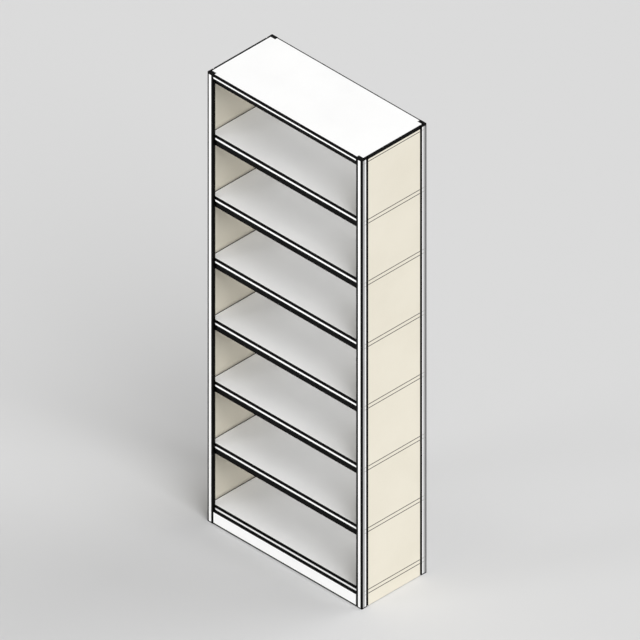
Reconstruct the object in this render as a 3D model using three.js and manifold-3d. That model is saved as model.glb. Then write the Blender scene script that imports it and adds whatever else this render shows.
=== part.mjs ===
// Double sided library shelving bay: slotted corner posts, end panels, hooked rails and bearers,
// lift-off shelves, a top panel, kick plates and levelling feet.
// Millimetres. X runs along the bay, Y from the front face to the rear face, Z up from the floor.
// The origin is on the floor at the middle of the bay.

import * as THREE from 'three';
import { mergeVertices } from 'three/addons/utils/BufferGeometryUtils.js';
import Module from 'manifold-3d';

const wasm = await Module();
wasm.setup();

// The bay
const BAY_HEIGHT = 2286;
const BAY_LENGTH = 908;
const BAY_DEPTH = 381;
const BASE_SHELF_TOP = 88.9;
const ADJUSTABLE_SHELVES = 6;

// Fits
const SEAT_GAP = 0.3; // between faces that rest on, hook into or lie against each other
const SLIDE_GAP = 1; // between a post's nose and what is dropped in beside it

// Corner posts: a closed nose at the face and a hemmed flange along the bay's end
const NOSE_WIDTH = 35;
const NOSE_DEPTH = 13.5;
const POST_DEPTH = 32;
const POST_WALL = 1.5;
const FLANGE_STEP = 0.8; // the flange's outer face lies this far inside the nose's
const HEM_GAP = 1.3; // between the flange and its folded-back hem
const HEM_MOUTH = 2.5; // between the hem's free edge and the nose

// End panels: thin sheet, stepped in at its sides behind the flanges, with a pair of pressed beads at every
// shelf level on the field between them
const PANEL_SHEET = 1;
const PANEL_REVEAL = 4.7; // width of the groove between a flange and the field
const PANEL_FOOT = 3; // height of the lower edge above the floor
const BEAD_WIDTH = 3;
const BEAD_DEPTH = 1;
const BEAD_END = 3; // from a bead's end to the side of the field
const BEAD_SPACING = 19.1;
const BEAD_DROP = 5.3; // from a shelf's top down to its upper bead

// Shelves and top panel: folded sheet with a lip along each face of the bay
const DECK_SHEET = 1.2;
const LIP_HEIGHT = 25.4;
const LIP_STANDOFF = 4; // of a shelf's lip in front of the rail behind it
const LIP_HEM = 8; // height of the sheet folded back inside the lip
const SHELF_END_GAP = 0.5; // between a shelf's end and the stepped sides of the end panel
const END_FLANGE_HEIGHT = 15;
const END_FLANGE_SETBACK = 10; // of a shelf's end flange from the corners of its deck
const TOP_RETURN = 8; // width of the fold at the foot of the top panel's lip

// Rails along the faces and bearers along the ends, hooked into the posts' noses
const RAIL_SHEET = 1.5;
const RAIL_HEIGHT = 50;
const RAIL_TOP_FLANGE = 14;
const RAIL_FOOT_FLANGE = 10;
const RAIL_END_GAP = 4.5; // between a rail's end and the bearer
const BEARER_HEIGHT = 19.1;
const BEARER_FLANGE = 14;
const BEARER_GAP = 1.9; // between a bearer and the shelf's end flange

// Hooks and the slots that they drop into
const HOOK_INSET = 3; // from a rail's end to its hook
const HOOK_TONGUE = 4; // height of the part that passes through the slot
const HOOK_DROP = 5; // how far the hook hangs down behind the wall
const HOOK_LIP = 1.5; // thickness of the hanging part
const SLOT_DROP = 19; // from a shelf's top down to the lower edge of its slot
const SLOT_PLAY = 2; // beside the hooks
const SLOT_HEADROOM = 3; // above a hook that is being put in
const SLOTS_PER_SHELF = 6;

// Kick plates, snapped in between the noses by a tab at each end
const KICK_HEIGHT = 69;
const KICK_FOOT = 2; // height of the lower edge above the floor
const KICK_SHEET = 1.2;
const KICK_LIP_GAP = 1.8; // between the folded edges and the base shelf's lip
const TAB_HEIGHT = 10;
const TAB_CATCH = 2; // how far a tab reaches past the post's wall
const TAB_PLAY = 0.5;

// Levelling feet, behind the kick plates at the foot of each post
const PAD_RADIUS = 14;
const PAD_HEIGHT = 8;
const PAD_CHAMFER = 2;
const PAD_SOCKET_DEPTH = 5;
const FOOT_END_GAP = 2.6; // between a pad and the end panel
const FOOT_FACE_GAP = 2.5; // between a pad and the post's nose
const SCREW_RADIUS = 4;
const HEX_FLATS = 13;
const HEX_HEIGHT = 5;
const HEX_LIFT = 1; // of the hexagon above the pad
const SCREW_HEADROOM = 4; // below the base rail
const BRACKET_SIZE = 30;
const BRACKET_PLATE = 3;
const BRACKET_LIFT = 18; // height of the plate above the floor
const BRACKET_HEADROOM = 2; // below the base rail
const ROUND_STEPS = 16;

// Paint and metal
const WHITE_PAINT = { color: 0xf4f4f2, roughness: 0.5, metalness: 0 };
const CREAM_PAINT = { color: 0xebe5d6, roughness: 0.55, metalness: 0 };
const BLACK_PAINT = { color: 0x161616, roughness: 0.6, metalness: 0 };
const ZINC = { color: 0xb4b7ba, roughness: 0.4, metalness: 1 };
const NYLON = { color: 0x2a2a2a, roughness: 0.7, metalness: 0 };

// Levels: the top of the base shelf, of each shelf above it and of the top panel
const SHELF_PITCH = (BAY_HEIGHT - BASE_SHELF_TOP) / (ADJUSTABLE_SHELVES + 1);
const TOP_LEVEL = ADJUSTABLE_SHELVES + 1;
const levelTop = (level) => BASE_SHELF_TOP + level * SHELF_PITCH;

// Depths measured in from the bay's end, u, and from its face, v
const FLANGE_INNER_U = FLANGE_STEP + 2 * POST_WALL + HEM_GAP;
const PANEL_OUTER_U = FLANGE_INNER_U + SEAT_GAP;
const PANEL_INNER_U = PANEL_OUTER_U + PANEL_SHEET;
const PANEL_FIELD_V = POST_DEPTH + PANEL_REVEAL;
const SHELF_END_U = PANEL_INNER_U + SHELF_END_GAP;
const BEARER_U = SHELF_END_U + DECK_SHEET + BEARER_GAP;
const RAIL_END_U = BEARER_U + RAIL_SHEET + RAIL_END_GAP;
const RAIL_HOOK_U = RAIL_END_U + HOOK_INSET;
const BESIDE_NOSE_U = NOSE_WIDTH + SLIDE_GAP;
const BEHIND_NOSE_V = NOSE_DEPTH + SEAT_GAP;
const LIP_SETBACK = BEHIND_NOSE_V - LIP_STANDOFF;
const FOOT_U = PANEL_INNER_U + FOOT_END_GAP + PAD_RADIUS;
const FOOT_V = NOSE_DEPTH + FOOT_FACE_GAP + PAD_RADIUS;

// Heights below a shelf's top
const SEAT_DROP = DECK_SHEET + SEAT_GAP;
const RAIL_FOOT_DROP = SEAT_DROP + RAIL_HEIGHT;
const BASE_RAIL_FOOT = BASE_SHELF_TOP - RAIL_FOOT_DROP;

// The kick plate's folded edges stop short of the base shelf's lip
const KICK_RETURN = LIP_SETBACK - KICK_LIP_GAP;
const TAB_Z = KICK_HEIGHT / 2;
const TAB_V = KICK_RETURN / 2;

const endX = (side, u) => side * (BAY_LENGTH / 2 - u);
const faceY = (face, v) => face * (BAY_DEPTH / 2 - v);
const RIGHT = 1;
const LEFT = -1;
const FRONT = -1;
const REAR = 1;

// A geometry as a solid that can be joined and cut.
function solid(geometry) {
  geometry.deleteAttribute('normal');
  geometry.deleteAttribute('uv');
  const merged = mergeVertices(geometry);
  const mesh = new wasm.Mesh({
    numProp: 3,
    vertProperties: merged.attributes.position.array,
    triVerts: Uint32Array.from(merged.index.array),
  });
  return new wasm.Manifold(mesh);
}

// A solid back as a geometry.
function geometryOf(body) {
  const mesh = body.getMesh();
  const geometry = new THREE.BufferGeometry();
  geometry.setAttribute('position', new THREE.BufferAttribute(mesh.vertProperties, 3));
  geometry.setIndex(new THREE.BufferAttribute(mesh.triVerts, 1));
  geometry.computeVertexNormals();
  return geometry;
}

const join = (bodies) => bodies.reduce((whole, body) => whole.add(body));
const cut = (body, tools) => tools.reduce((rest, tool) => rest.subtract(tool), body);

// A block between two values on each axis, given in either order.
function block(xs, ys, zs) {
  const low = new THREE.Vector3(Math.min(...xs), Math.min(...ys), Math.min(...zs));
  const high = new THREE.Vector3(Math.max(...xs), Math.max(...ys), Math.max(...zs));
  const size = high.clone().sub(low);
  const centre = low.clone().add(high).multiplyScalar(0.5);
  const geometry = new THREE.BoxGeometry(size.x, size.y, size.z);
  geometry.translate(centre.x, centre.y, centre.z);
  return solid(geometry);
}

// A block by its depths from an end and a face of the bay.
function cornerBlock(side, face, us, vs, zs) {
  const xs = us.map((u) => endX(side, u));
  const ys = vs.map((v) => faceY(face, v));
  return block(xs, ys, zs);
}

// Outlines carried along an axis. The two numbers of a point lie on the other two axes.
const ALONG_Z = new THREE.Matrix4();
const ALONG_X = new THREE.Matrix4().makeBasis(
  new THREE.Vector3(0, 1, 0),
  new THREE.Vector3(0, 0, 1),
  new THREE.Vector3(1, 0, 0),
);
const ALONG_MINUS_Y = new THREE.Matrix4().makeBasis(
  new THREE.Vector3(1, 0, 0),
  new THREE.Vector3(0, 0, 1),
  new THREE.Vector3(0, -1, 0),
);

function prism(points, from, to, direction) {
  const outline = new THREE.Shape(points.map(([a, b]) => new THREE.Vector2(a, b)));
  const geometry = new THREE.ExtrudeGeometry(outline, { depth: to - from, bevelEnabled: false });
  geometry.translate(0, 0, from);
  geometry.applyMatrix4(direction);
  return solid(geometry);
}

// A turned solid about the Z axis from a profile of radius and height.
function turned(profile) {
  const points = profile.map(([radius, height]) => new THREE.Vector2(radius, height));
  const geometry = new THREE.LatheGeometry(points, ROUND_STEPS);
  geometry.rotateX(Math.PI / 2);
  return solid(geometry);
}

// The heights of every slot's lower edge, from the base shelf's to the top panel's.
function slotHeights() {
  const heights = [];
  for (let index = 0; index <= TOP_LEVEL * SLOTS_PER_SHELF; index += 1) {
    heights.push(levelTop(index / SLOTS_PER_SHELF) - SLOT_DROP);
  }
  return heights;
}

// One corner post at the front. Its nose is a tube, closed at the top and open at the foot.
// A row of slots in the nose's rear wall takes the hooks, and a slot beside the floor the kick plate's tab.
function frontPost(side) {
  const outline = [
    [0, 0],
    [NOSE_WIDTH, 0],
    [NOSE_WIDTH, NOSE_DEPTH],
    [FLANGE_STEP + POST_WALL, NOSE_DEPTH],
    [FLANGE_STEP + POST_WALL, POST_DEPTH - POST_WALL],
    [FLANGE_INNER_U - POST_WALL, POST_DEPTH - POST_WALL],
    [FLANGE_INNER_U - POST_WALL, NOSE_DEPTH + HEM_MOUTH],
    [FLANGE_INNER_U, NOSE_DEPTH + HEM_MOUTH],
    [FLANGE_INNER_U, POST_DEPTH],
    [FLANGE_STEP, POST_DEPTH],
    [FLANGE_STEP, NOSE_DEPTH],
    [0, NOSE_DEPTH],
  ];
  const section = outline.map(([u, v]) => [endX(side, u), faceY(FRONT, v)]);
  const strip = prism(section, 0, BAY_HEIGHT, ALONG_Z);
  const bore = cornerBlock(
    side,
    FRONT,
    [POST_WALL, NOSE_WIDTH - POST_WALL],
    [POST_WALL, NOSE_DEPTH - POST_WALL],
    [-POST_WALL, BAY_HEIGHT - POST_WALL],
  );
  const slotHeight = HOOK_TONGUE + HOOK_DROP + SLOT_HEADROOM;
  const slots = slotHeights().map((lower) => cornerBlock(
    side,
    FRONT,
    [BEARER_U - SLOT_PLAY, RAIL_HOOK_U + RAIL_SHEET + SLOT_PLAY],
    [NOSE_DEPTH - 1.5 * POST_WALL, NOSE_DEPTH + POST_WALL / 2],
    [lower, lower + slotHeight],
  ));
  const tabSlot = cornerBlock(
    side,
    FRONT,
    [NOSE_WIDTH - 1.5 * POST_WALL, NOSE_WIDTH + POST_WALL / 2],
    [TAB_V - KICK_SHEET / 2 - TAB_PLAY, TAB_V + KICK_SHEET / 2 + TAB_PLAY],
    [TAB_Z - TAB_HEIGHT / 2 - TAB_PLAY, TAB_Z + TAB_HEIGHT / 2 + TAB_PLAY],
  );
  return cut(strip, [bore, ...slots, tabSlot]);
}

// A V-shaped bar along Y on the right end, pointing inwards, with its edge at depth `edgeU` and height z.
function beadBar(edgeU, thickness, z) {
  const halfWidth = (thickness / BEAD_DEPTH) * (BEAD_WIDTH / 2);
  const section = [
    [endX(RIGHT, edgeU), z],
    [endX(RIGHT, edgeU - thickness), z - halfWidth],
    [endX(RIGHT, edgeU - thickness), z + halfWidth],
  ];
  const reach = faceY(REAR, PANEL_FIELD_V + BEAD_END);
  return prism(section, -reach, reach, ALONG_MINUS_Y);
}

// The right end panel: a field flush with the flanges, with beads pressed inwards, the upper bead left off
// at the top. At each side the sheet steps in and runs on behind the flange to the nose.
function rightEndPanel() {
  const fieldInnerU = FLANGE_STEP + PANEL_SHEET;
  const frontHalf = [
    [PANEL_OUTER_U, BEHIND_NOSE_V],
    [PANEL_OUTER_U, PANEL_FIELD_V],
    [FLANGE_STEP, PANEL_FIELD_V],
  ];
  const frontHalfInside = [
    [fieldInnerU, PANEL_FIELD_V + PANEL_SHEET],
    [PANEL_INNER_U, PANEL_FIELD_V + PANEL_SHEET],
    [PANEL_INNER_U, BEHIND_NOSE_V],
  ];
  const toRear = (points) => points.map(([u, v]) => [u, BAY_DEPTH - v]).reverse();
  const outline = [...frontHalf, ...toRear(frontHalf), ...toRear(frontHalfInside), ...frontHalfInside];
  const section = outline.map(([u, v]) => [endX(RIGHT, u), faceY(FRONT, v)]);
  const sheet = prism(section, PANEL_FOOT, BAY_HEIGHT - SEAT_DROP, ALONG_Z);
  const beads = [];
  for (let level = 0; level <= TOP_LEVEL; level += 1) {
    const upper = levelTop(level) - BEAD_DROP;
    beads.push(upper - BEAD_SPACING);
    if (level < TOP_LEVEL) {
      beads.push(upper);
    }
  }
  const ridges = beads.map((z) => beadBar(fieldInnerU + BEAD_DEPTH, BEAD_DEPTH + PANEL_SHEET / 2, z));
  const grooves = beads.map((z) => beadBar(FLANGE_STEP + BEAD_DEPTH, 2 * BEAD_DEPTH, z));
  return cut(join([sheet, ...ridges]), grooves);
}

// A deck of sheet with its top at height zero, notched round the four noses.
function notchedDeck(endU, lipV) {
  const narrowX = endX(RIGHT, BESIDE_NOSE_U);
  const wideX = endX(RIGHT, endU);
  const narrowY = faceY(REAR, NOSE_DEPTH + SLIDE_GAP);
  const wideY = faceY(REAR, lipV);
  const outline = [
    [narrowX, -wideY],
    [narrowX, -narrowY],
    [wideX, -narrowY],
    [wideX, narrowY],
    [narrowX, narrowY],
    [narrowX, wideY],
    [-narrowX, wideY],
    [-narrowX, narrowY],
    [-wideX, narrowY],
    [-wideX, -narrowY],
    [-narrowX, -narrowY],
    [-narrowX, -wideY],
  ];
  return prism(outline, -DECK_SHEET, 0, ALONG_Z);
}

// The flange folded down at one end of a deck, stopping short of the deck's corners.
function endFlange(side) {
  const halfLength = faceY(REAR, NOSE_DEPTH + SLIDE_GAP + END_FLANGE_SETBACK);
  const xs = [endX(side, SHELF_END_U), endX(side, SHELF_END_U + DECK_SHEET)];
  return block(xs, [-halfLength, halfLength], [-END_FLANGE_HEIGHT, 0]);
}

// A lip folded down along a face, with a fold of the given width and height at its foot.
function lip(face, lipV, foldWidth, foldHeight) {
  const halfLength = endX(RIGHT, BESIDE_NOSE_U);
  const xs = [-halfLength, halfLength];
  const wall = block(xs, [faceY(face, lipV), faceY(face, lipV + DECK_SHEET)], [-LIP_HEIGHT, 0]);
  const foldYs = [faceY(face, lipV), faceY(face, lipV + foldWidth)];
  return wall.add(block(xs, foldYs, [-LIP_HEIGHT, foldHeight - LIP_HEIGHT]));
}

function shelf() {
  const hemWidth = 2 * DECK_SHEET;
  return join([
    notchedDeck(SHELF_END_U, LIP_SETBACK),
    lip(FRONT, LIP_SETBACK, hemWidth, LIP_HEM),
    lip(REAR, LIP_SETBACK, hemWidth, LIP_HEM),
    endFlange(RIGHT),
    endFlange(LEFT),
  ]);
}

// The top's lips are flush with the posts, and a tongue at each end covers the field of the end panel.
function topPanel() {
  const tongueReach = faceY(REAR, PANEL_FIELD_V);
  const tongues = [RIGHT, LEFT].map((side) => block(
    [endX(side, FLANGE_STEP), endX(side, PANEL_INNER_U)],
    [-tongueReach, tongueReach],
    [-DECK_SHEET, 0],
  ));
  return join([
    notchedDeck(PANEL_OUTER_U, 0),
    lip(FRONT, 0, TOP_RETURN, DECK_SHEET),
    lip(REAR, 0, TOP_RETURN, DECK_SHEET),
    endFlange(RIGHT),
    endFlange(LEFT),
    ...tongues,
  ]);
}

// A hook in a plane square to the wall, from depth `root` through the nose's rear wall and down inside it.
// Heights are below a shelf's top.
function hookOutline(root) {
  const inside = NOSE_DEPTH - POST_WALL - SEAT_GAP;
  const foot = SEAT_GAP - SLOT_DROP;
  const crown = foot + HOOK_TONGUE;
  return [
    [root, foot],
    [inside, foot],
    [inside, foot - HOOK_DROP],
    [inside - HOOK_LIP, foot - HOOK_DROP],
    [inside - HOOK_LIP, crown],
    [root, crown],
  ];
}

function hook(side, face, u, root) {
  const outline = hookOutline(root).map(([v, z]) => [faceY(face, v), z]);
  const xs = [endX(side, u), endX(side, u + RAIL_SHEET)];
  return prism(outline, Math.min(...xs), Math.max(...xs), ALONG_X);
}

// The front rail of a level: a channel open towards the middle of the bay, with a hook at each end.
function frontRail() {
  const outer = BEHIND_NOSE_V;
  const inner = outer + RAIL_SHEET;
  const section = [
    [outer, -SEAT_DROP],
    [outer + RAIL_TOP_FLANGE, -SEAT_DROP],
    [outer + RAIL_TOP_FLANGE, -SEAT_DROP - RAIL_SHEET],
    [inner, -SEAT_DROP - RAIL_SHEET],
    [inner, -RAIL_FOOT_DROP + RAIL_SHEET],
    [outer + RAIL_FOOT_FLANGE, -RAIL_FOOT_DROP + RAIL_SHEET],
    [outer + RAIL_FOOT_FLANGE, -RAIL_FOOT_DROP],
    [outer, -RAIL_FOOT_DROP],
  ];
  const channel = section.map(([v, z]) => [faceY(FRONT, v), z]);
  const halfLength = endX(RIGHT, RAIL_END_U);
  return join([
    prism(channel, -halfLength, halfLength, ALONG_X),
    hook(RIGHT, FRONT, RAIL_HOOK_U, inner),
    hook(LEFT, FRONT, RAIL_HOOK_U, inner),
  ]);
}

// The right bearer of a level: an angle whose flange stops short of the rails, with a hook at each end.
function rightBearer() {
  const webReach = faceY(REAR, BEHIND_NOSE_V);
  const flangeReach = faceY(REAR, BEHIND_NOSE_V + RAIL_TOP_FLANGE + SLIDE_GAP);
  const root = BEHIND_NOSE_V + RAIL_SHEET;
  const web = block(
    [endX(RIGHT, BEARER_U), endX(RIGHT, BEARER_U + RAIL_SHEET)],
    [-webReach, webReach],
    [-SEAT_DROP - BEARER_HEIGHT, -SEAT_DROP],
  );
  const flange = block(
    [endX(RIGHT, BEARER_U), endX(RIGHT, BEARER_U + BEARER_FLANGE)],
    [-flangeReach, flangeReach],
    [-SEAT_DROP - RAIL_SHEET, -SEAT_DROP],
  );
  return join([web, flange, hook(RIGHT, FRONT, BEARER_U, root), hook(RIGHT, REAR, BEARER_U, root)]);
}

// The front kick plate: a face, a fold along its top and at each end, and a snap tab on each end fold.
function frontKickPlate() {
  const halfLength = endX(RIGHT, BESIDE_NOSE_U);
  const xs = [-halfLength, halfLength];
  const zs = [KICK_FOOT, KICK_HEIGHT];
  const ys = [faceY(FRONT, 0), faceY(FRONT, KICK_RETURN)];
  const face = block(xs, [faceY(FRONT, 0), faceY(FRONT, KICK_SHEET)], zs);
  const topFold = block(xs, ys, [KICK_HEIGHT - KICK_SHEET, KICK_HEIGHT]);
  const ends = [RIGHT, LEFT].flatMap((side) => {
    const fold = block([side * halfLength, side * (halfLength - KICK_SHEET)], ys, zs);
    const tab = cornerBlock(
      side,
      FRONT,
      [BESIDE_NOSE_U + KICK_SHEET, NOSE_WIDTH - POST_WALL - TAB_CATCH],
      [TAB_V - KICK_SHEET / 2, TAB_V + KICK_SHEET / 2],
      [TAB_Z - TAB_HEIGHT / 2, TAB_Z + TAB_HEIGHT / 2],
    );
    return [fold, tab];
  });
  return join([face, topFold, ...ends]);
}

// The parts of a levelling foot, about its own screw axis and above the floor.
function footPad() {
  const socketRadius = SCREW_RADIUS + SEAT_GAP;
  return turned([
    [0, 0],
    [PAD_RADIUS, 0],
    [PAD_RADIUS, PAD_HEIGHT - PAD_CHAMFER],
    [PAD_RADIUS - PAD_CHAMFER, PAD_HEIGHT],
    [socketRadius, PAD_HEIGHT],
    [socketRadius, PAD_HEIGHT - PAD_SOCKET_DEPTH],
    [0, PAD_HEIGHT - PAD_SOCKET_DEPTH],
  ]);
}

function levellingScrew() {
  const stem = turned([
    [0, PAD_HEIGHT - PAD_SOCKET_DEPTH + SEAT_GAP],
    [SCREW_RADIUS, PAD_HEIGHT - PAD_SOCKET_DEPTH + SEAT_GAP],
    [SCREW_RADIUS, BASE_RAIL_FOOT - SCREW_HEADROOM],
    [0, BASE_RAIL_FOOT - SCREW_HEADROOM],
  ]);
  const hexRadius = HEX_FLATS / Math.sqrt(3);
  const corners = [0, 1, 2, 3, 4, 5].map((index) => {
    const angle = (index * Math.PI) / 3;
    return [hexRadius * Math.cos(angle), hexRadius * Math.sin(angle)];
  });
  const hexFoot = PAD_HEIGHT + HEX_LIFT;
  return stem.add(prism(corners, hexFoot, hexFoot + HEX_HEIGHT, ALONG_Z));
}

// An angle whose leg stands against the rear of the nose and whose plate takes the screw.
function footBracket() {
  const half = BRACKET_SIZE / 2;
  const legHalf = NOSE_WIDTH - FOOT_U;
  const noseY = BEHIND_NOSE_V - FOOT_V;
  const plate = block([-half, half], [noseY, half], [BRACKET_LIFT, BRACKET_LIFT + BRACKET_PLATE]);
  const leg = block(
    [-legHalf, legHalf],
    [noseY, noseY + BRACKET_PLATE],
    [BRACKET_LIFT, BASE_RAIL_FOOT - BRACKET_HEADROOM],
  );
  const hole = turned([
    [0, BRACKET_LIFT - BRACKET_PLATE],
    [SCREW_RADIUS + SEAT_GAP, BRACKET_LIFT - BRACKET_PLATE],
    [SCREW_RADIUS + SEAT_GAP, BRACKET_LIFT + 2 * BRACKET_PLATE],
    [0, BRACKET_LIFT + 2 * BRACKET_PLATE],
  ]);
  return plate.add(leg).subtract(hole);
}

// The assembly. A rear or left piece is its front or right one, turned half round about the Z axis.
const HALF_TURN = Math.PI;
const shelving = new THREE.Group();
shelving.name = 'library_shelving';

function place(name, geometry, paint, { x = 0, y = 0, z = 0, turn = 0 } = {}) {
  const mesh = new THREE.Mesh(geometry, new THREE.MeshStandardMaterial(paint));
  mesh.name = name;
  mesh.position.set(x, y, z);
  mesh.rotation.z = turn;
  shelving.add(mesh);
}

const rightHandPost = geometryOf(frontPost(RIGHT));
const leftHandPost = geometryOf(frontPost(LEFT));
place('post_right_front', rightHandPost, WHITE_PAINT);
place('post_left_front', leftHandPost, WHITE_PAINT);
place('post_left_rear', rightHandPost, WHITE_PAINT, { turn: HALF_TURN });
place('post_right_rear', leftHandPost, WHITE_PAINT, { turn: HALF_TURN });

const endPanel = geometryOf(rightEndPanel());
place('end_panel_right', endPanel, CREAM_PAINT);
place('end_panel_left', endPanel, CREAM_PAINT, { turn: HALF_TURN });

const shelfSheet = geometryOf(shelf());
const rail = geometryOf(frontRail());
const bearer = geometryOf(rightBearer());
for (let level = 0; level <= TOP_LEVEL; level += 1) {
  const z = levelTop(level);
  const label = level === 0 ? 'base' : level === TOP_LEVEL ? 'top' : `${level}`;
  place(`rail_front_${label}`, rail, BLACK_PAINT, { z });
  place(`rail_rear_${label}`, rail, BLACK_PAINT, { z, turn: HALF_TURN });
  if (level < TOP_LEVEL) {
    place(`shelf_${label}`, shelfSheet, WHITE_PAINT, { z });
    place(`bearer_right_${label}`, bearer, BLACK_PAINT, { z });
    place(`bearer_left_${label}`, bearer, BLACK_PAINT, { z, turn: HALF_TURN });
  }
}
place('top_panel', geometryOf(topPanel()), WHITE_PAINT, { z: BAY_HEIGHT });

const kickPlate = geometryOf(frontKickPlate());
place('kick_plate_front', kickPlate, WHITE_PAINT);
place('kick_plate_rear', kickPlate, WHITE_PAINT, { turn: HALF_TURN });

const pad = geometryOf(footPad());
const screw = geometryOf(levellingScrew());
const bracket = geometryOf(footBracket());
for (const [sideName, side] of [['left', LEFT], ['right', RIGHT]]) {
  for (const [faceName, face] of [['front', FRONT], ['rear', REAR]]) {
    const corner = `${sideName}_${faceName}`;
    const spot = { x: endX(side, FOOT_U), y: faceY(face, FOOT_V) };
    place(`foot_pad_${corner}`, pad, NYLON, spot);
    place(`levelling_screw_${corner}`, screw, ZINC, spot);
    place(`foot_bracket_${corner}`, bracket, ZINC, { ...spot, turn: face === REAR ? HALF_TURN : 0 });
  }
}

export default shelving;
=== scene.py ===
import math

import bpy
import numpy as np
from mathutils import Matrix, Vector


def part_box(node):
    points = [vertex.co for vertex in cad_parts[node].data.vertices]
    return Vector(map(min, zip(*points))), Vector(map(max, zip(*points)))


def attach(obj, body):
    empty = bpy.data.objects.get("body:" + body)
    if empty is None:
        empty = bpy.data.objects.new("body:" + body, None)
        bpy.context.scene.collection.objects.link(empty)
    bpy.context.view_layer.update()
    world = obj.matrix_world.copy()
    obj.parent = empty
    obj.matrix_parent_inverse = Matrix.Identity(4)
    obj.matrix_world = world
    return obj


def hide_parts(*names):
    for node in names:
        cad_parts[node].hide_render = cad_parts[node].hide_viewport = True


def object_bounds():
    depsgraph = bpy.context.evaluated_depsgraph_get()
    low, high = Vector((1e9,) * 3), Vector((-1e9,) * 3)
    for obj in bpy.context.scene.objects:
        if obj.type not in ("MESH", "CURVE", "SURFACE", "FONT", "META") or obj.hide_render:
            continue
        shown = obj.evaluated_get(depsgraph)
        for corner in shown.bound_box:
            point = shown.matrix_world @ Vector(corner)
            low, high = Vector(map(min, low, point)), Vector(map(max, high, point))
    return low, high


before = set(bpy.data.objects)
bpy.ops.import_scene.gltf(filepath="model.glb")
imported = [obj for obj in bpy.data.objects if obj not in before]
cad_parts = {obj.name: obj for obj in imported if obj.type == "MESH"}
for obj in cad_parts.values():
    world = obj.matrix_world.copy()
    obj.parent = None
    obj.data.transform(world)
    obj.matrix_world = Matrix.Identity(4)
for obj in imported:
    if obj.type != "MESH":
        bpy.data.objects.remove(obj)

cad_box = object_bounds()


# Corner posts
# Each post is rolled from one strip of 1.5 mm steel: a closed nose at the face, with a row of slots in its
# back, and a hemmed flange along the bay's end. It is powder coated white, with its folds lined in black, and
# the side of its nose is painted a grey shade.

CORNERS = {"left_front": (-1, -1), "left_rear": (-1, 1), "right_front": (1, -1), "right_rear": (1, 1)}
bay_end = cad_box[1].x
bay_face = cad_box[1].y
bay_top = cad_box[1].z
post_low, post_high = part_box("post_right_front")
nose_width = post_high.x - post_low.x
post_depth = post_high.y - post_low.y
base_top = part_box("shelf_base")[1].z
shelf_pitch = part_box("shelf_1")[1].z - base_top
LEVELS = ("base", "1", "2", "3", "4", "5", "6")
level_tops = base_top + shelf_pitch * np.arange(len(LEVELS) + 1)

BEND_STEPS = 6
HAIR = 0.0002
WELD_DISTANCE = 0.00002


def bent(corners, radii):
    """A line through corner points with its inner corners rounded. Each is cut back by the radius times the
    tangent of half the turn, and an arc joins the cuts. Gives the points, the length along the line at each,
    and the length at every corner, as counted on the side before it and on the side after it."""
    corners = np.array(corners)
    parts = [corners[:1]]
    cuts = []
    for last, corner, following, radius in zip(corners, corners[1:], corners[2:], radii):
        into = (corner - last) / np.linalg.norm(corner - last)
        out = (following - corner) / np.linalg.norm(following - corner)
        turn = math.acos(into @ out)
        aside = (out - into * (into @ out)) / math.sin(turn)
        cuts.append(radius * math.tan(turn / 2))
        angles = np.linspace(0.0, turn, BEND_STEPS + 1)[:, None]
        arc = into * np.sin(angles) + aside * (1 - np.cos(angles))
        parts.append(corner - into * cuts[-1] + radius * arc)
    parts.append(corners[-1:])
    line = np.concatenate(parts)
    along = np.concatenate([[0.0], np.cumsum(np.linalg.norm(np.diff(line, axis=0), axis=1))])
    firsts = 1 + np.arange(len(radii)) * (BEND_STEPS + 1)
    return line, along, along[firsts] + cuts, along[firsts + BEND_STEPS] - cuts


def places_for(along, *span_lists, edges=()):
    """Places along a length: its own points, given edges, and both ends of every span with a hair outside
    them, so that paint laid on a span stops crisply."""
    spans = np.concatenate([np.reshape(spans, (-1, 2)) for spans in span_lists])
    places = np.concatenate([along, spans.ravel(), spans[:, 0] - HAIR, spans[:, 1] + HAIR, np.ravel(edges)])
    return np.unique(np.round(np.clip(places, along[0], along[-1]), 6))


def inside(places, spans, margin=HAIR / 2):
    """Whether each place lies in one of the spans."""
    spans = np.reshape(spans, (-1, 2))
    return ((places[:, None] > spans[:, 0] - margin) & (places[:, None] < spans[:, 1] + margin)).any(axis=1)


def on_line(line, along, places):
    """The points of a line at the given lengths along it."""
    return np.stack([np.interp(places, along, line[:, axis]) for axis in range(2)], axis=-1)


def carried(profile, stations, to_place):
    """A profile carried straight along: its points (a, b) repeat at every station c, one row for each, and
    to_place turns a, b and c into x, y and z."""
    a, b = np.tile(profile, (len(stations), 1)).T
    c = np.repeat(stations, len(profile))
    return np.stack(np.broadcast_arrays(*to_place(a, b, c)), axis=-1)


def quads(rows, columns, turned_over=False):
    """The faces of a grid of points: each takes a point, the next in its row, and both in the next row."""
    first = (np.arange(rows - 1)[:, None] * columns + np.arange(columns - 1)).ravel()
    faces = np.stack([first, first + 1, first + columns + 1, first + columns], axis=-1)
    return faces[:, ::-1] if turned_over else faces


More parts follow.
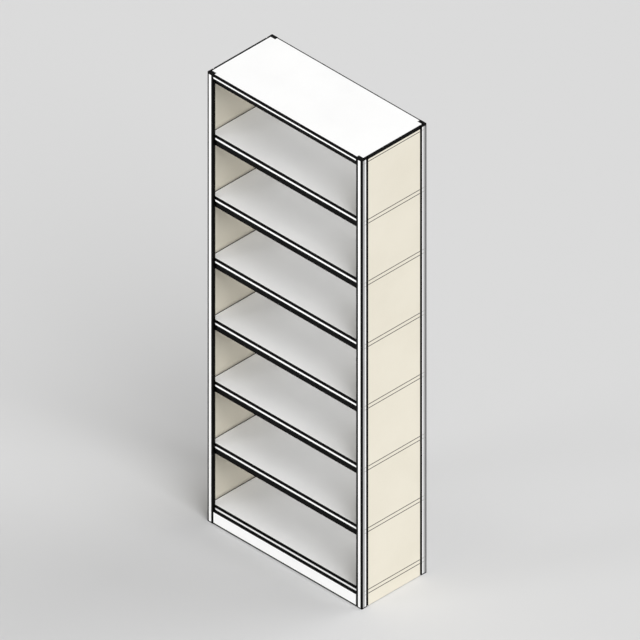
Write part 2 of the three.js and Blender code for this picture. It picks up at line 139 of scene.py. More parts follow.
def new_piece(name, node, body, finish, surfaces):
    """One piece from its surfaces, each given as points, faces and painted marks. Edges that meet are welded.
    The piece stands for a node of the frame, and moves with its body."""
    points = np.concatenate([points for points, faces, marks in surfaces])
    starts = np.cumsum([0] + [len(points) for points, faces, marks in surfaces])
    faces = [face for start, surface in zip(starts, surfaces) for face in (surface[1] + start).tolist()]
    mesh = bpy.data.meshes.new(name)
    mesh.from_pydata(points.tolist(), [], faces)
    for mark in sorted({mark for surface in surfaces for mark in surface[2]}):
        values = [surface[2].get(mark, np.zeros(len(surface[0]))) for surface in surfaces]
        attribute = mesh.attributes.new(mark, "FLOAT", "POINT")
        attribute.data.foreach_set("value", np.concatenate(values).astype(np.float32))
    mesh.materials.append(finish)
    piece = bpy.data.objects.new(name, mesh)
    bpy.context.scene.collection.objects.link(piece)
    weld = piece.modifiers.new("seams", "WELD")
    weld.merge_threshold = WELD_DISTANCE
    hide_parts(node)
    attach(piece, body)
    return piece


def give_thickness(piece, thickness):
    """Sheet has its thickness on the inside of its outer skin."""
    wall = piece.modifiers.new("sheet", "SOLIDIFY")
    wall.thickness = thickness
    wall.offset = -1.0
    wall.use_even_offset = True
    wall.use_quality_normals = True


def new_group(name, inputs, outputs):
    """A shader node group with named sockets, and its input and output nodes."""
    group = bpy.data.node_groups.new(name, "ShaderNodeTree")
    for socket, kind in inputs:
        group.interface.new_socket(socket, in_out="INPUT", socket_type=kind)
    for socket, kind in outputs:
        group.interface.new_socket(socket, in_out="OUTPUT", socket_type=kind)
    return group, group.nodes.new("NodeGroupInput"), group.nodes.new("NodeGroupOutput")


def wire(tree, value, socket):
    """Links an output to a socket, or sets the socket to a plain value."""
    if isinstance(value, bpy.types.NodeSocket):
        tree.links.new(value, socket)
    else:
        socket.default_value = value


def math_of(tree, operation, *values):
    """The output of a Math node for the given values or outputs."""
    node = tree.nodes.new("ShaderNodeMath")
    node.operation = operation
    for index, value in enumerate(values):
        wire(tree, value, node.inputs[index])
    return node.outputs[0]


def ramp_of(tree, value, low, high, to_low=0.0, to_high=1.0):
    """A smooth step of a value from one level to another."""
    node = tree.nodes.new("ShaderNodeMapRange")
    node.interpolation_type = "SMOOTHSTEP"
    for socket, amount in zip(node.inputs, (value, low, high, to_low, to_high)):
        wire(tree, amount, socket)
    return node.outputs[0]


def noise_of(tree, vector, cells, detail):
    """The value of a noise of so many cells a metre, with finer noise added in so many steps."""
    node = tree.nodes.new("ShaderNodeTexNoise")
    wire(tree, vector, node.inputs["Vector"])
    node.inputs["Scale"].default_value = cells
    node.inputs["Detail"].default_value = detail
    return node.outputs["Fac"]


def mix_of(tree, mask, first, second):
    """A colour that goes from the first to the second with a mask."""
    node = tree.nodes.new("ShaderNodeMix")
    node.data_type = "RGBA"
    wire(tree, mask, node.inputs["Factor"])
    wire(tree, first, node.inputs[6])
    wire(tree, second, node.inputs[7])
    return node.outputs[2]


def painted_mark(tree, name):
    """A mark that was laid on the piece's points, from 0 to 1."""
    node = tree.nodes.new("ShaderNodeAttribute")
    node.attribute_name = name
    return node.outputs["Fac"]


# Cells of the coat's patterns to the metre, and the levels of noise between which they change.
MOTTLE_CELLS = 4.0
SPECKLE_CELLS = 160.0
SPECKLE_SHARE = 0.25
MOTTLE_LEVELS = (0.35, 1.0)
PEEL_CELLS = 650.0
GLOSS_CELLS = 30.0
CLOUD_LEVELS = (0.3, 0.7)


def powder_coat_group():
    """Sprayed and baked powder: a broad mottle with a share of fine speckle in the colour, a fine orange-peel
    height, and an uneven gloss."""
    group, given, put = new_group(
        "powder_coat",
        [
            ("Position", "NodeSocketVector"),
            ("Paint", "NodeSocketColor"),
            ("Shade", "NodeSocketColor"),
            ("Gloss Low", "NodeSocketFloat"),
            ("Gloss High", "NodeSocketFloat"),
        ],
        [
            ("Colour", "NodeSocketColor"),
            ("Roughness", "NodeSocketFloat"),
            ("Height", "NodeSocketFloat"),
        ],
    )
    place = given.outputs["Position"]
    broad = noise_of(group, place, MOTTLE_CELLS, detail=3.0)
    fine = noise_of(group, place, SPECKLE_CELLS, detail=2.0)
    mottle = ramp_of(group, math_of(group, "MULTIPLY_ADD", fine, SPECKLE_SHARE, broad), *MOTTLE_LEVELS)
    colour = mix_of(group, mottle, given.outputs["Paint"], given.outputs["Shade"])
    peel = noise_of(group, place, PEEL_CELLS, detail=1.0)
    cloud = noise_of(group, place, GLOSS_CELLS, detail=3.0)
    gloss = ramp_of(group, cloud, *CLOUD_LEVELS, given.outputs["Gloss Low"], given.outputs["Gloss High"])
    group.links.new(colour, put.inputs["Colour"])
    group.links.new(gloss, put.inputs["Roughness"])
    group.links.new(peel, put.inputs["Height"])
    return group


POWDER_COAT = powder_coat_group()
LINING_INK = (0.0015, 0.0015, 0.0015, 1.0)
PEEL_DEPTH = 0.00008


def coated(name, paint, shade, gloss=(0.38, 0.52), specular=0.18):
    """A powder-coated material: the material, its tree, its shader and its colour so far."""
    material = bpy.data.materials.new(name)
    material.use_nodes = True
    tree = material.node_tree
    shader = tree.nodes["Principled BSDF"]
    shader.inputs["Specular IOR Level"].default_value = specular
    coat = tree.nodes.new("ShaderNodeGroup")
    coat.node_tree = POWDER_COAT
    place = tree.nodes.new("ShaderNodeTexCoord").outputs["Object"]
    wire(tree, place, coat.inputs["Position"])
    wire(tree, paint, coat.inputs["Paint"])
    wire(tree, shade, coat.inputs["Shade"])
    wire(tree, gloss[0], coat.inputs["Gloss Low"])
    wire(tree, gloss[1], coat.inputs["Gloss High"])
    bump = tree.nodes.new("ShaderNodeBump")
    bump.inputs["Distance"].default_value = PEEL_DEPTH
    tree.links.new(coat.outputs["Height"], bump.inputs["Height"])
    tree.links.new(bump.outputs["Normal"], shader.inputs["Normal"])
    tree.links.new(coat.outputs["Roughness"], shader.inputs["Roughness"])
    tree.links.new(coat.outputs["Colour"], shader.inputs["Base Color"])
    return material, tree, shader, coat.outputs["Colour"]


def line_in_black(tree, shader, colour):
    """Lays black lining over a coat. The ink is a metal of its own dark colour, so it mirrors little."""
    lining = painted_mark(tree, "lining")
    tree.links.new(mix_of(tree, lining, colour, LINING_INK), shader.inputs["Base Color"])
    tree.links.new(lining, shader.inputs["Metallic"])


WHITE = (0.90, 0.90, 0.895, 1.0)
WHITE_SHADE = (0.86, 0.86, 0.855, 1.0)
# Painted shade: the grey laid on the side of each post's nose, as if that side stood in less light.
NOSE_SIDE_PAINTED_SHADE = (0.36, 0.36, 0.36, 1.0)
MARK_GREY = (0.30, 0.29, 0.27, 1.0)
MARK_STRENGTH = 0.5


def white_coat():
    """White coat with black lining. A post's side carries painted grey shade, and faint marks at the shelves.
    """
    material, tree, shader, colour = coated("white_coat", WHITE, WHITE_SHADE)
    # Painted shade: the side of the nose, and a little of the flange, turn grey.
    colour = mix_of(tree, painted_mark(tree, "tone"), colour, NOSE_SIDE_PAINTED_SHADE)
    faint = math_of(tree, "MULTIPLY", painted_mark(tree, "mark"), MARK_STRENGTH)
    line_in_black(tree, shader, mix_of(tree, faint, colour, MARK_GREY))
    return material


WHITE_COAT = white_coat()

STRIP = 0.0015
NOSE_DEPTH = 0.0135
NOSE_BEND = 0.0025
FLANGE_STEP = 0.0008
STEP_SLOPE = 0.0006
STEP_BEND = 0.0004
HEM_WIDTH = 0.0043
HEM_BEND = 0.0021
HEM_MOUTH = 0.0025
SEAM_GAP = 0.0003
strip_line, strip_along, strip_before, strip_after = bent(
    [
        (FLANGE_STEP + STRIP + SEAM_GAP, NOSE_DEPTH),
        (nose_width, NOSE_DEPTH),
        (nose_width, 0.0),
        (0.0, 0.0),
        (0.0, NOSE_DEPTH - STEP_SLOPE),
        (FLANGE_STEP, NOSE_DEPTH + STEP_SLOPE),
        (FLANGE_STEP, post_depth),
        (FLANGE_STEP + HEM_WIDTH, post_depth),
        (FLANGE_STEP + HEM_WIDTH, NOSE_DEPTH + HEM_MOUTH),
    ],
    [NOSE_BEND, NOSE_BEND, NOSE_BEND, STEP_BEND, STEP_BEND, HEM_BEND, HEM_BEND],
)

INNER_LINE = 0.0124
FACE_LINE = 0.0087
SIDE_LINE = 0.0068
FLANGE_LINE = 0.0061
# How far the painted grey shade reaches from the nose's side onto the flange.
FLANGE_PAINTED_SHADE = 0.004
POST_TOP_LINE = 0.008
POST_FOOT_LINE = 0.005
strip_lining = [
    (0.0, strip_after[1] + INNER_LINE),
    (strip_before[2] - FACE_LINE, strip_after[2] + SIDE_LINE),
    (strip_before[5] - FLANGE_LINE, strip_along[-1]),
]
# Where the painted grey shade lies along the strip: the nose's side, the step and the flange's first few mm.
strip_painted_shade = [(strip_after[2], strip_after[4] + FLANGE_PAINTED_SHADE)]

SLOT_FIRST = 0.008
SLOT_WIDTH = 0.0145
SLOT_DROP = 0.019
SLOT_HEIGHT = 0.012
SLOTS_PER_SHELF = 6
slot_steps = np.arange(len(LEVELS) * SLOTS_PER_SHELF + 1) / SLOTS_PER_SHELF
slot_feet = base_top - SLOT_DROP + slot_steps * shelf_pitch
slot_heights = np.stack([slot_feet, slot_feet + SLOT_HEIGHT], axis=-1)
slot_start = SLOT_FIRST - strip_line[0, 0]
slot_across = [(slot_start, slot_start + SLOT_WIDTH)]

TAB_SLOT_DEPTH = 0.0029
TAB_SLOT_WIDTH = 0.0022
TAB_SLOT_FOOT = 0.029
TAB_SLOT_HEIGHT = 0.011
tab_slot_end = strip_before[1] - TAB_SLOT_DEPTH
tab_slot_across = [(tab_slot_end - TAB_SLOT_WIDTH, tab_slot_end)]
tab_slot_heights = [(TAB_SLOT_FOOT, TAB_SLOT_FOOT + TAB_SLOT_HEIGHT)]

BEAD_DROP = 0.0053
BEAD_SPACING = 0.0191
MARK_WIDTH = 0.004
bead_heights = np.concatenate([level_tops[:-1] - BEAD_DROP, level_tops - BEAD_DROP - BEAD_SPACING])
mark_heights = np.stack([bead_heights - MARK_WIDTH / 2, bead_heights + MARK_WIDTH / 2], axis=-1)

post_lining = [(0.0, POST_FOOT_LINE), (bay_top - POST_TOP_LINE, bay_top)]
across = places_for(strip_along, strip_lining, strip_painted_shade, edges=[slot_across, tab_slot_across])
heights = places_for(np.array([0.0, bay_top]), post_lining, mark_heights,
                     edges=np.concatenate([slot_heights, tab_slot_heights]))
across_middle = (across[1:] + across[:-1]) / 2
height_middle = (heights[1:] + heights[:-1]) / 2
solid_wall = ~(
    inside(height_middle, slot_heights, 0.0)[:, None] & inside(across_middle, slot_across, 0.0)
    | inside(height_middle, tab_slot_heights, 0.0)[:, None] & inside(across_middle, tab_slot_across, 0.0)
)
post_marks = {
    "lining": (inside(heights, post_lining)[:, None] | inside(across, strip_lining)).ravel(),
    # the painted grey shade on the nose's side
    "tone": np.tile(inside(across, strip_painted_shade), len(heights)),
    "mark": (inside(heights, mark_heights)[:, None] & (across > strip_after[2])).ravel(),
}
nose_rim = np.flatnonzero(across <= strip_before[3])

for corner, (side, face) in CORNERS.items():
    walls = carried(on_line(strip_line, strip_along, across), heights,
                    lambda u, v, z: (side * (bay_end - u), face * (bay_face - v), z))
    mirrored = side * face > 0
    wall_faces = quads(len(heights), len(across), mirrored)[solid_wall.ravel()]
    cap = walls[-len(across):][nose_rim]
    cap_face = nose_rim[None, ::-1] if mirrored else nose_rim[None, :]
    post = new_piece("rolled_post_" + corner, "post_" + corner, "frame", WHITE_COAT,
                     [(walls, wall_faces, post_marks), (cap, cap_face, {"lining": np.ones(len(cap))})])
    give_thickness(post, STRIP)


# End panels
# A single sheet of 1 mm steel closes each end. Its field lies flush with the posts' flanges, and its sides
# step in behind them and are spot welded there. Beads are pressed in at the shelves, with painted shade laid
# in them. It is coated cream.

CREAM = (0.785, 0.74, 0.63, 1.0)
CREAM_SHADE = (0.745, 0.70, 0.59, 1.0)
# Painted shade: the near-black laid in the pressed beads, darkest where a bead is deepest.
BEAD_PAINTED_SHADE = (0.03, 0.029, 0.026, 1.0)


def cream_coat():
    """Cream coat with black lining, and painted shade darkening its pressed beads."""
    material, tree, shader, colour = coated("cream_coat", CREAM, CREAM_SHADE, gloss=(0.45, 0.6))
    # Painted shade: the beads darken towards their deepest line.
    line_in_black(tree, shader, mix_of(tree, painted_mark(tree, "bead"), colour, BEAD_PAINTED_SHADE))
    return material


CREAM_COAT = cream_coat()

PANEL_SHEET = 0.001
PANEL_REVEAL = 0.0047
PANEL_STEP = 0.0046
PANEL_BEND = 0.0012
PANEL_NOSE_GAP = 0.0003
field_edge = post_depth + PANEL_REVEAL
panel_edge = NOSE_DEPTH + PANEL_NOSE_GAP
bay_depth = 2 * bay_face
panel_line, panel_along, panel_before, panel_after = bent(
    [
        (FLANGE_STEP + PANEL_STEP, panel_edge),
        (FLANGE_STEP + PANEL_STEP, field_edge),
        (FLANGE_STEP, field_edge),
        (FLANGE_STEP, bay_depth - field_edge),
        (FLANGE_STEP + PANEL_STEP, bay_depth - field_edge),
        (FLANGE_STEP + PANEL_STEP, bay_depth - panel_edge),
    ],
    [PANEL_BEND] * 4,
)

FIELD_LINE = 0.0016
PANEL_TOP_LINE = 0.0125
BEAD_HALF = 0.0028
BEAD_DEPTH = 0.001
BEAD_END = 0.0015
BEAD_TAPER = 0.003
BEAD_STEPS = 11
TAPER_STEPS = 5
# How strongly the painted shade in a bead rises with its depth.
BEAD_PAINTED_SHADE_STRENGTH = 2.2
panel_low, panel_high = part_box("end_panel_right")
panel_sides = [(0.0, panel_after[1] + FIELD_LINE), (panel_before[2] - FIELD_LINE, panel_along[-1])]
panel_band = [(bay_top - PANEL_TOP_LINE, panel_high.z)]
taper_places = BEAD_END + np.linspace(0.0, BEAD_TAPER, TAPER_STEPS)
taper_edges = [panel_after[1] + taper_places, panel_before[2] - taper_places]
across = places_for(panel_along, panel_sides, edges=taper_edges)
heights = places_for(np.array([panel_low.z, panel_high.z]), panel_band,
                     edges=bead_heights[:, None] + np.linspace(-BEAD_HALF, BEAD_HALF, BEAD_STEPS))

# A bead's depth follows a squared cosine across it, and fades out in a smooth step at both of its ends.
# The painted shade laid in a bead follows the same depth.
from_bead = np.abs(heights[:, None] - bead_heights).min(axis=1)
bead_wave = np.cos(np.pi / 2 * np.clip(from_bead / BEAD_HALF, 0.0, 1.0)) ** 2
from_side = np.minimum(across - panel_after[1], panel_before[2] - across)
fade = np.clip((from_side - BEAD_END) / BEAD_TAPER, 0.0, 1.0)
bead = (bead_wave[:, None] * (3 * fade ** 2 - 2 * fade ** 3)).ravel()
panel_marks = {
    "lining": (inside(heights, panel_band)[:, None] | inside(across, panel_sides)).ravel(),
    # painted shade in the beads, darker where they are deeper
    "bead": np.clip(BEAD_PAINTED_SHADE_STRENGTH * bead, 0.0, 1.0),
}

for name, side in (("left", -1), ("right", 1)):
    skin = carried(on_line(panel_line, panel_along, across), heights,
                   lambda u, v, z: (side * (bay_end - u - BEAD_DEPTH * bead), v - bay_face, z))
    panel = new_piece("pressed_panel_" + name, "end_panel_" + name, "frame", CREAM_COAT,
                      [(skin, quads(len(heights), len(across), side < 0), panel_marks)])
    give_thickness(panel, PANEL_SHEET)


# Levelling feet
# Behind each post's foot a zinc-plated angle takes a hexagon-headed screw, which stands in a socket of a
# moulded black pad. They are hidden behind the kick plates.

ROUND_STEPS = 48
SHARP_ANGLE = math.radians(35)


def turned(profile, centre, radius_at=None):
    """A profile of radius and height turned about an upright axis. The radius may change with the angle and
    the height, as on a thread or a hexagon, by a function of angle, height and radius."""
    angle = np.linspace(0.0, 2 * np.pi, ROUND_STEPS + 1)[None, :]
    radius, height = profile[:, :1], profile[:, 1:]
    if radius_at:
        radius = radius_at(angle, height, radius)
    points = np.broadcast_arrays(centre.x + radius * np.cos(angle), centre.y + radius * np.sin(angle), height)
    return np.stack(points, axis=-1).reshape(-1, 3), quads(len(profile), ROUND_STEPS + 1), {}


def smooth(piece):
    """Round faces are shaded smooth, and edges stay crisp."""
    piece.data.shade_smooth()
    piece.data.set_sharp_from_angle(angle=SHARP_ANGLE)


ZINC_BRIGHT = (0.62, 0.63, 0.65, 1.0)
ZINC_DULL = (0.46, 0.47, 0.50, 1.0)
ZINC_CELLS = 220.0
ZINC_GLOSS = (0.32, 0.5)


def zinc_plate():
    """Zinc plating: bright metal with a fine cloudy grain in its colour and gloss."""
    material = bpy.data.materials.new("zinc_plate")
    material.use_nodes = True
    tree = material.node_tree
    shader = tree.nodes["Principled BSDF"]
    shader.inputs["Metallic"].default_value = 1.0
    place = tree.nodes.new("ShaderNodeTexCoord").outputs["Object"]
    cloud = noise_of(tree, place, ZINC_CELLS, detail=3.0)
    tree.links.new(mix_of(tree, cloud, ZINC_BRIGHT, ZINC_DULL), shader.inputs["Base Color"])
    tree.links.new(ramp_of(tree, cloud, *CLOUD_LEVELS, *ZINC_GLOSS), shader.inputs["Roughness"])
    return material


ZINC_PLATE = zinc_plate()
NYLON = (0.03, 0.03, 0.031, 1.0)
NYLON_SHADE = (0.02, 0.02, 0.02, 1.0)
MOULDED_NYLON, *_ = coated("moulded_nylon", NYLON, NYLON_SHADE, gloss=(0.6, 0.75), specular=0.4)

PAD_ROUND = 0.0008
PAD_CHAMFER = 0.002
SOCKET_RADIUS = 0.0043
SOCKET_DEPTH = 0.005
THREAD_PITCH = 0.00125
THREAD_DEPTH = 0.0007
THREAD_STEPS = 8
HEX_FLATS = 0.013
HEX_HEIGHT = 0.005
HEX_LIFT = 0.001
HEX_CHAMFER = 0.0006
FOLD_RADIUS = 0.0006
FOLD_STEPS = 2
FOLD_ANGLE = math.radians(40)
FLAT_ANGLE = math.radians(1)


def thread_radius(angle, height, radius):
    """A thread: the radius falls by the thread's depth and rises again once a pitch, and a full turn shifts
    it by one pitch."""
    wave = np.abs((height / THREAD_PITCH - angle / (2 * np.pi)) % 1.0 - 0.5)
    return np.where(radius > 0.0, radius - 2 * THREAD_DEPTH * wave, 0.0)


def hexagon_radius(angle, height, radius):
    """A hexagon: half the width across flats over the cosine of the angle from the nearest flat's middle,
    and never more than the given radius, which rounds its corners off at both ends."""
    from_flat = (angle % (np.pi / 3)) - np.pi / 6
    return np.minimum(HEX_FLATS / 2 / np.cos(from_flat), radius)


def round_folds(node):
    """A folded piece of the frame: corners are welded, flat faces joined and folds rounded."""
    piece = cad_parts[node]
    weld = piece.modifiers.new("weld", "WELD")
    weld.merge_threshold = WELD_DISTANCE
    flat = piece.modifiers.new("flat_faces", "DECIMATE")
    flat.decimate_type = "DISSOLVE"
    flat.angle_limit = FLAT_ANGLE
    fold = piece.modifiers.new("folds", "BEVEL")
    fold.width = FOLD_RADIUS
    fold.segments = FOLD_STEPS
    fold.limit_method = "ANGLE"
    fold.angle_limit = FOLD_ANGLE


def dress(node, material):
    """Gives a piece of the frame its finish."""
    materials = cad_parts[node].data.materials
    materials.clear()
    materials.append(material)


for corner in CORNERS:
    pad_low, pad_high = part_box("foot_pad_" + corner)
    middle = (pad_low + pad_high) / 2
    pad_radius = (pad_high.x - pad_low.x) / 2
    pad_line, *_ = bent(
        [
            (0.0, pad_low.z),
            (pad_radius, pad_low.z),
            (pad_radius, pad_high.z - PAD_CHAMFER),
            (pad_radius - PAD_CHAMFER, pad_high.z),
            (SOCKET_RADIUS, pad_high.z),
            (SOCKET_RADIUS, pad_high.z - SOCKET_DEPTH),
            (0.0, pad_high.z - SOCKET_DEPTH),
        ],
        [PAD_ROUND, PAD_ROUND, PAD_ROUND, PAD_ROUND / 2, PAD_ROUND / 2],
    )
    pad = new_piece("turned_pad_" + corner, "foot_pad_" + corner, "foot_pad_" + corner,
                    MOULDED_NYLON, [turned(pad_line, middle)])
    smooth(pad)

    screw_low, screw_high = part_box("levelling_screw_" + corner)
    screw_radius = SOCKET_RADIUS - SEAM_GAP
    screw_heights = np.arange(screw_low.z, screw_high.z, THREAD_PITCH / THREAD_STEPS)
    screw_radii = np.full(len(screw_heights), screw_radius)
    stem = np.stack([np.concatenate([[0.0], screw_radii, [0.0]]),
                     np.concatenate([screw_heights[:1], screw_heights, screw_heights[-1:]])], axis=-1)
    hex_foot = pad_high.z + HEX_LIFT
    hex_corner = HEX_FLATS / math.sqrt(3)
    hexagon = np.array([
        (0.0, hex_foot),
        (HEX_FLATS / 2, hex_foot),
        (hex_corner, hex_foot + HEX_CHAMFER),
        (hex_corner, hex_foot + HEX_HEIGHT - HEX_CHAMFER),
        (HEX_FLATS / 2, hex_foot + HEX_HEIGHT),
        (0.0, hex_foot + HEX_HEIGHT),
    ])
    screw = new_piece("threaded_screw_" + corner, "levelling_screw_" + corner, "levelling_screw_" + corner,
                      ZINC_PLATE,
                      [turned(stem, middle, thread_radius), turned(hexagon, middle, hexagon_radius)])
    smooth(screw)

    dress("foot_bracket_" + corner, ZINC_PLATE)
    round_folds("foot_bracket_" + corner)


# Rails and bearers
# Channels along both faces and angles along both ends hook into the posts' slots and carry each shelf.
# They are folded from 1.5 mm steel and coated matt black, and show as a dark band below each lip.

BLACK = (0.005, 0.005, 0.005, 1.0)
BLACK_SHADE = (0.003, 0.003, 0.003, 1.0)
MATT_BLACK, *_ = coated("matt_black_coat", BLACK, BLACK_SHADE, gloss=(0.6, 0.75), specular=0.03)
for level in LEVELS + ("top",):
    for face in ("front", "rear"):
        dress(f"rail_{face}_{level}", MATT_BLACK)
        round_folds(f"rail_{face}_{level}")
for level in LEVELS:
    for side in ("left", "right"):
        dress(f"bearer_{side}_{level}", MATT_BLACK)
        round_folds(f"bearer_{side}_{level}")


# Shelves
# Each shelf is a tray folded from 1.2 mm sheet: a deck, a hemmed lip along both faces, and at both ends a
# flange between the posts. It lies loose on its rails and bearers, and is lifted off upwards.

DECK_SHEET = 0.0012
LIP_BEND = 0.0022
HEM_FOLD = 0.0026
HEM_FOLD_BEND = 0.0013
LIP_HEM = 0.008
SLIDE_GAP = 0.001
END_FLANGE = 0.015
FLANGE_SETBACK = 0.010
FLANGE_ROOT = 0.15
DECK_LINE = 0.0070
LIP_TOP_LINE = 0.0098
LIP_FOOT_LINE = 0.0064
DECK_END_LINE = 0.0025
LENGTH_STEPS = 9
shelf_low, shelf_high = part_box("shelf_1")
lip_y = shelf_high.y
lip_height = shelf_high.z - shelf_low.z
between_noses = bay_end - nose_width - SLIDE_GAP
behind_noses = bay_face - NOSE_DEPTH - SLIDE_GAP
lengths = np.linspace(-between_noses, between_noses, LENGTH_STEPS)

tray_line, tray_along, tray_before, tray_after = bent(
    [
        (HEM_FOLD - lip_y, LIP_HEM - lip_height),
        (HEM_FOLD - lip_y, -lip_height),
        (-lip_y, -lip_height),
        (-lip_y, 0.0),
        (lip_y, 0.0),
        (lip_y, -lip_height),
        (lip_y - HEM_FOLD, -lip_height),
        (lip_y - HEM_FOLD, LIP_HEM - lip_height),
    ],
    [HEM_FOLD_BEND, HEM_FOLD_BEND, LIP_BEND, LIP_BEND, HEM_FOLD_BEND, HEM_FOLD_BEND],
)
tray_lining = [
    (0.0, tray_after[1] + LIP_FOOT_LINE),
    (tray_before[2] - LIP_TOP_LINE, tray_after[2] + DECK_LINE),
    (tray_before[3] - DECK_LINE, tray_after[3] + LIP_TOP_LINE),
    (tray_before[4] - LIP_FOOT_LINE, tray_along[-1]),
]

# The ends of a deck run on between the posts, on the same depths as the middle so that both can be welded.
end_lining = [(-behind_noses, DECK_LINE - lip_y), (lip_y - DECK_LINE, behind_noses)]
flange_reach = behind_noses - FLANGE_SETBACK
deck_depth = np.array([-behind_noses, behind_noses])
end_depths = places_for(deck_depth, end_lining, edges=[-flange_reach, flange_reach])
tray_across = places_for(tray_along, tray_lining, edges=tray_after[2] + lip_y + end_depths)
tray_profile = on_line(tray_line, tray_along, tray_across)
tray_marks = {"lining": np.tile(inside(tray_across, tray_lining), len(lengths))}
end_line, end_along, end_before, _ = bent(
    [(between_noses, 0.0), (shelf_high.x, 0.0), (shelf_high.x, -END_FLANGE)], [LIP_BEND])
end_edge = [(end_before[0] - DECK_END_LINE, end_along[-1])]
end_across = places_for(end_along, end_edge)
end_profile = on_line(end_line, end_along, end_across)
end_marks = {"lining": (inside(end_depths, end_lining)[:, None] | inside(end_across, end_edge)).ravel()}
flange_share = np.clip((behind_noses - np.abs(end_depths)) / FLANGE_SETBACK, FLANGE_ROOT, 1.0)
flange_shares = np.repeat(flange_share, len(end_across))

for level, top in zip(LEVELS, level_tops):
    middle = carried(tray_profile, lengths, lambda y, z, x: (x, y, top + z))
    surfaces = [(middle, quads(len(lengths), len(tray_across), True), tray_marks)]
    for side in (-1, 1):
        end = carried(end_profile, end_depths, lambda x, z, y: (side * x, y, top + z * flange_shares))
        surfaces.append((end, quads(len(end_depths), len(end_across), side < 0), end_marks))
    shelf = new_piece("folded_shelf_" + level, "shelf_" + level, "shelf_" + level,
                      WHITE_COAT, surfaces)
    give_thickness(shelf, DECK_SHEET)


# Top panel
# A tray like the shelves', but its lips are flush with the posts' faces and end in a fold inwards. At each
# end a tongue covers the end panel's upper edge. It lies on the top rails.

TOP_RETURN = 0.008
TOP_DECK_LINE = 0.0068
TOP_LIP_LINE = 0.0104
TOP_FOOT_LINE = 0.0076
TOP_END_LINE = 0.0090
WING_LINE = 0.004
panel_top_u = FLANGE_STEP + PANEL_STEP
top_line, top_along, top_before, top_after = bent(
    [
        (TOP_RETURN - bay_face, -lip_height),
        (-bay_face, -lip_height),
        (-bay_face, 0.0),
        (bay_face, 0.0),
        (bay_face, -lip_height),
        (bay_face - TOP_RETURN, -lip_height),
    ],
    [LIP_BEND] * 4,
)
top_lining = [
    (0.0, top_after[0] + TOP_FOOT_LINE),
    (top_before[1] - TOP_LIP_LINE, top_after[1] + TOP_DECK_LINE),
    (top_before[2] - TOP_DECK_LINE, top_after[2] + TOP_LIP_LINE),
    (top_before[3] - TOP_FOOT_LINE, top_along[-1]),
]
tongue_reach = bay_face - field_edge
wing_lining = [(-behind_noses, WING_LINE - behind_noses), (behind_noses - WING_LINE, behind_noses)]
top_depths = places_for(deck_depth, wing_lining, edges=[-tongue_reach, tongue_reach])
top_across = places_for(top_along, top_lining, edges=top_after[1] + bay_face + top_depths)
top_profile = on_line(top_line, top_along, top_across)
middle = carried(top_profile, lengths, lambda y, z, x: (x, y, bay_top + z))
surfaces = [(middle, quads(len(lengths), len(top_across), True),
             {"lining": np.tile(inside(top_across, top_lining), len(lengths))})]

tongue_end = bay_end - FLANGE_STEP
end_band = [(tongue_end - TOP_END_LINE, tongue_end)]
tongue_root = bay_end - panel_top_u
wing_lengths = places_for(np.array([between_noses, tongue_root]), end_band, edges=[between_noses + HAIR])
tongue_lengths = np.array([tongue_root, tongue_end])
tongue_depths = top_depths[np.abs(top_depths) <= tongue_reach + HAIR]
flange_drops = np.array([-DECK_SHEET, -END_FLANGE])
flange_depths = np.array([-flange_reach, flange_reach])
for side in (-1, 1):
    for reach, depths in ((wing_lengths, top_depths), (tongue_lengths, tongue_depths)):
        flat = np.stack([reach, np.zeros(len(reach))], axis=-1)
        end = carried(flat, depths, lambda x, z, y: (side * x, y, bay_top + z))
        beside_nose = inside(depths, wing_lining)[:, None] & (reach > between_noses + HAIR / 2)
        wing_marks = {"lining": (beside_nose | inside(reach, end_band)).ravel()}
        surfaces.append((end, quads(len(depths), len(reach), side < 0), wing_marks))
    upright = np.stack([np.full(2, shelf_high.x), flange_drops], axis=-1)
    flange = carried(upright, flange_depths, lambda x, z, y: (side * x, y, bay_top + z))
    surfaces.append((flange, quads(2, 2, side < 0), {}))
top_panel = new_piece("folded_top", "top_panel", "frame", WHITE_COAT, surfaces)
give_thickness(top_panel, DECK_SHEET)


# Kick plates
# A plate folded from 1.2 mm sheet fills the space under the base shelf on each face. It is folded back along
# its top and at both ends, where a tab snaps into the side of each post's nose.

KICK_RETURN = 0.008
KICK_TOP_LINE = 0.0078
KICK_FOOT_LINE = 0.0059
TAB_HEIGHT = 0.010
TAB_REACH = 0.0045
kick_low, kick_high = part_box("kick_plate_front")
kick_line, kick_along, kick_before, _ = bent(
    [(0.0, kick_low.z), (0.0, kick_high.z), (KICK_RETURN, kick_high.z)], [LIP_BEND])
kick_lining = [(0.0, KICK_FOOT_LINE), (kick_before[0] - KICK_TOP_LINE, kick_along[-1])]
kick_across = places_for(kick_along, kick_lining)
kick_profile = on_line(kick_line, kick_along, kick_across)
upright_part = kick_across <= kick_before[0] - LIP_BEND + HAIR
end_heights = kick_profile[upright_part, 1]
end_fold = np.array([(between_noses, 0.0), (between_noses, KICK_RETURN)])
tab = np.array([(between_noses - DECK_SHEET, KICK_RETURN / 2), (between_noses + TAB_REACH, KICK_RETURN / 2)])
tab_middle = TAB_SLOT_FOOT + TAB_SLOT_HEIGHT / 2
tab_heights = np.array([tab_middle - TAB_HEIGHT / 2, tab_middle + TAB_HEIGHT / 2])
kick_marks = {"lining": np.tile(inside(kick_across, kick_lining), len(lengths))}
fold_marks = {"lining": np.repeat(inside(kick_across[upright_part], kick_lining), len(end_fold))}

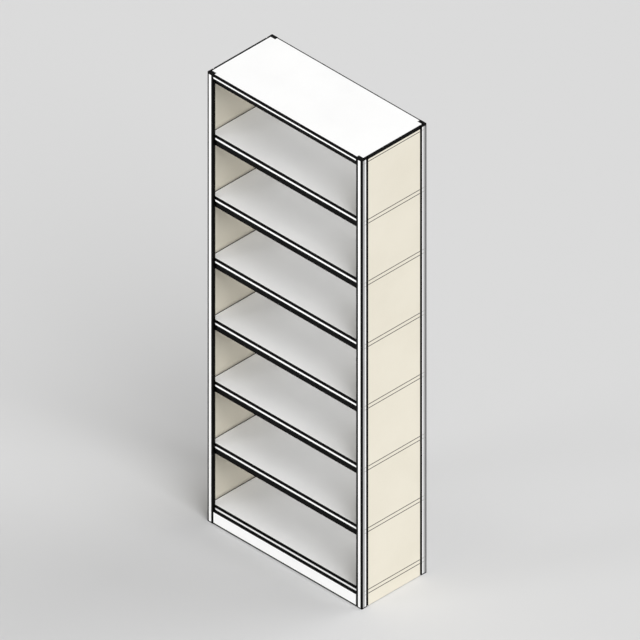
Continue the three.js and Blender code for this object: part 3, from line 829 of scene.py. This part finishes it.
for name, face in (("front", -1), ("rear", 1)):
    plate = carried(kick_profile, lengths, lambda v, z, x: (x, face * (bay_face - v), z))
    surfaces = [(plate, quads(len(lengths), len(kick_across), face < 0), kick_marks)]
    for side in (-1, 1):
        for fold, fold_heights, marks in ((end_fold, end_heights, fold_marks), (tab, tab_heights, {})):
            fold_points = carried(fold, fold_heights, lambda x, v, z: (side * x, face * (bay_face - v), z))
            surfaces.append((fold_points, quads(len(fold_heights), 2, side * face > 0), marks))
    kick_plate = new_piece("folded_kick_plate_" + name, "kick_plate_" + name, "frame",
                           WHITE_COAT, surfaces)
    give_thickness(kick_plate, DECK_SHEET)


# Floor, light and camera
# A plain pale floor, three soft lamps and an even sky, which is paler where it is seen than where it lights.
# The camera looks down at the front and the right end without perspective, as an isometric view does.

FLOOR_HALF = 12.0
FLOOR_GREY = (0.62, 0.62, 0.62, 1.0)
FLOOR_ROUGHNESS = 0.9
floor_mesh = bpy.data.meshes.new("floor")
floor_corners = FLOOR_HALF * np.array([(-1, -1, 0), (1, -1, 0), (1, 1, 0), (-1, 1, 0)])
floor_mesh.from_pydata(floor_corners.tolist(), [], [(0, 1, 2, 3)])
floor = bpy.data.objects.new("floor", floor_mesh)
bpy.context.scene.collection.objects.link(floor)
floor_finish = bpy.data.materials.new("pale_floor")
floor_finish.use_nodes = True
floor_shader = floor_finish.node_tree.nodes["Principled BSDF"]
floor_shader.inputs["Base Color"].default_value = FLOOR_GREY
floor_shader.inputs["Roughness"].default_value = FLOOR_ROUGHNESS
floor_mesh.materials.append(floor_finish)

SKY_STRENGTH = 0.335
BACKDROP_STRENGTH = 0.72
world = bpy.data.worlds.new("even_sky")
bpy.context.scene.world = world
world.use_nodes = True
sky = world.node_tree
rays = sky.nodes.new("ShaderNodeLightPath").outputs
mirrored_or_through = math_of(sky, "MAXIMUM", rays["Is Glossy Ray"], rays["Is Transmission Ray"])
seen = math_of(sky, "MAXIMUM", rays["Is Camera Ray"], mirrored_or_through)
sky_strength = math_of(sky, "MULTIPLY_ADD", seen, BACKDROP_STRENGTH - SKY_STRENGTH, SKY_STRENGTH)
sky.nodes["Background"].inputs["Color"].default_value = (1.0, 1.0, 1.0, 1.0)
sky.links.new(sky_strength, sky.nodes["Background"].inputs["Strength"])


def soft_sun(name, towards, strength, spread):
    """A wide, distant lamp: the spread is the angle that it fills, so its shadows are soft."""
    lamp = bpy.data.lights.new(name, "SUN")
    lamp.energy = strength
    lamp.angle = math.radians(spread)
    holder = bpy.data.objects.new(name, lamp)
    holder.rotation_euler = Vector(towards).to_track_quat("Z", "Y").to_euler()
    bpy.context.scene.collection.objects.link(holder)


soft_sun("key_sun", towards=(0.62, -0.18, 0.76), strength=2.1, spread=40.0)
soft_sun("fill_sun", towards=(-0.45, -0.89, 0.06), strength=2.25, spread=20.0)
soft_sun("rear_sun", towards=(0.40, 0.72, 0.56), strength=1.25, spread=50.0)

AZIMUTH = math.radians(45.0)
ELEVATION = math.atan(1 / math.sqrt(2))
PHOTO_WIDTH_PX = 640
MM_PER_PX = 4.1553
CENTRE_PX = (317.0, 321.9)
CAMERA_DISTANCE = 9.0
camera_data = bpy.data.cameras.new("camera")
camera_data.type = "ORTHO"
camera_data.ortho_scale = PHOTO_WIDTH_PX * MM_PER_PX / 1000
camera = bpy.data.objects.new("camera", camera_data)
towards = Vector((math.sin(AZIMUTH) * math.cos(ELEVATION), -math.cos(AZIMUTH) * math.cos(ELEVATION),
                  math.sin(ELEVATION)))
camera.rotation_euler = towards.to_track_quat("Z", "Y").to_euler()
right = Vector((math.cos(AZIMUTH), math.sin(AZIMUTH), 0.0))
up = towards.cross(right)
shift_right = (PHOTO_WIDTH_PX / 2 - CENTRE_PX[0]) * MM_PER_PX / 1000
shift_up = (CENTRE_PX[1] - PHOTO_WIDTH_PX / 2) * MM_PER_PX / 1000
bay_centre = (cad_box[0] + cad_box[1]) / 2
camera.location = bay_centre + towards * CAMERA_DISTANCE + right * shift_right + up * shift_up
bpy.context.scene.collection.objects.link(camera)
bpy.context.scene.camera = camera

bpy.context.scene.view_settings.view_transform = "Standard"
